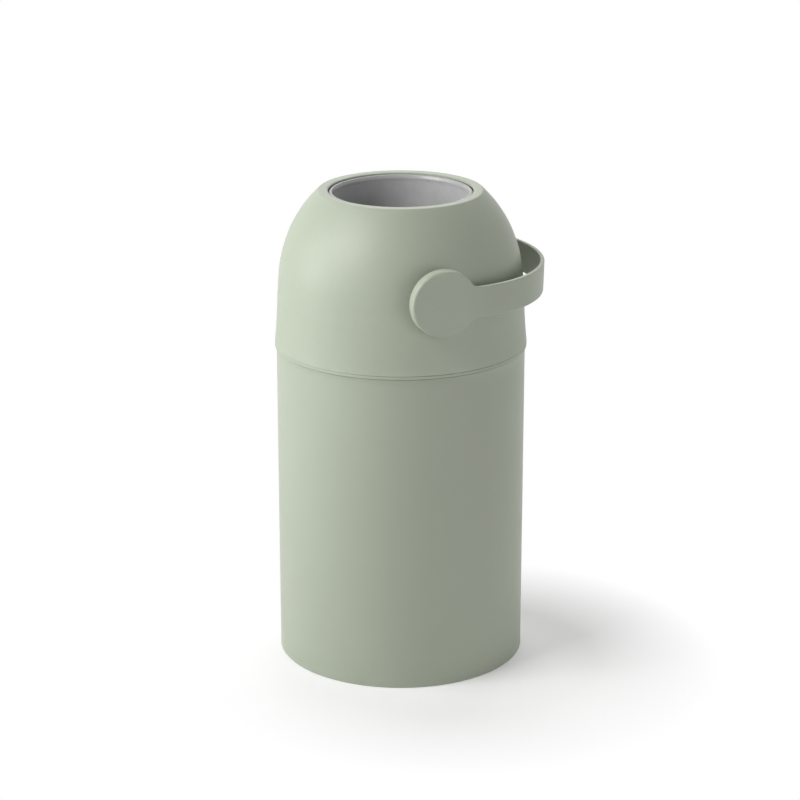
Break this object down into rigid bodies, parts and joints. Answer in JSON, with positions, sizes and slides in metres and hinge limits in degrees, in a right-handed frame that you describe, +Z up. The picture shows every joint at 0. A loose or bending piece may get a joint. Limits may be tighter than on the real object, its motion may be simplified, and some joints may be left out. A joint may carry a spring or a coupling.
{
  "type": "nappy bin",
  "caption": "Tall round nappy bin with a domed head, a grey cup in a turning drum, and a strap handle that flips over the top to drop the load into a bag.",
  "frame": {"origin": "on the bin's axis at the level of the floor", "axes": "+Z up; the drum and the handle turn about a line along Y; the grip rests towards +X; the hinge of the head is towards +Y"},
  "size_m": [0.2858, 0.288, 0.5119],
  "materials": {
    "painted_steel": "matt sage green powder coat",
    "sage_plastic": "matt sage green",
    "grey_plastic": "satin mid grey",
    "inner_plastic": "matt off-white",
    "bush_plastic": "natural acetal",
    "rubber": "matt black",
    "steel": "zinc-plated"
  },
  "bodies": {
    "bin": {"body_sleeve": "painted_steel", "base_pan": "inner_plastic", "foot_ring": "rubber", "collar": "sage_plastic", "collar_gasket": "rubber", "hinge_pin": "steel"},
    "bag_holder": {"bag_ring": "sage_plastic"},
    "head": {"head_shell": "sage_plastic", "seal_carrier": "inner_plastic", "top_seal": "rubber", "carrier_screws": "steel", "drum_cradle": "inner_plastic", "lower_seal": "rubber", "cradle_screws": "steel", "catch_tongue": "inner_plastic", "bush_front": "bush_plastic", "bush_rear": "bush_plastic"},
    "drum": {"drum_front_half": "grey_plastic", "drum_rear_half": "grey_plastic", "drum_half_screws": "steel", "drum_tube": "grey_plastic", "rim_top": "grey_plastic", "rim_bottom": "grey_plastic", "trunnion_front": "bush_plastic", "trunnion_rear": "bush_plastic", "trunnion_screws": "steel", "handle_screws": "steel", "handle": "sage_plastic"},
    "plunger": {"piston": "grey_plastic", "piston_seal": "rubber"}
  },
  "joints": [
    {"name": "head_hinge", "type": "hinge", "parent": "bin", "child": "head", "pos_m": [0, 0.1387, 0.3462], "axis": [-1, 0, 0], "range_deg": [0, 95]},
    {"name": "drum_flip", "type": "hinge", "parent": "head", "child": "drum", "pos_m": [0, 0, 0.4245], "axis": [0, -1, 0], "range_deg": [0, 180]},
    {"name": "piston_slide", "type": "slide", "parent": "drum", "child": "plunger", "axis": [0, 0, 1], "range_m": [0, 0.1295]},
    {"name": "bag_ring_lift", "type": "slide", "parent": "bin", "child": "bag_holder", "axis": [0, 0, 1], "range_m": [0, 0.019]}
  ]
}
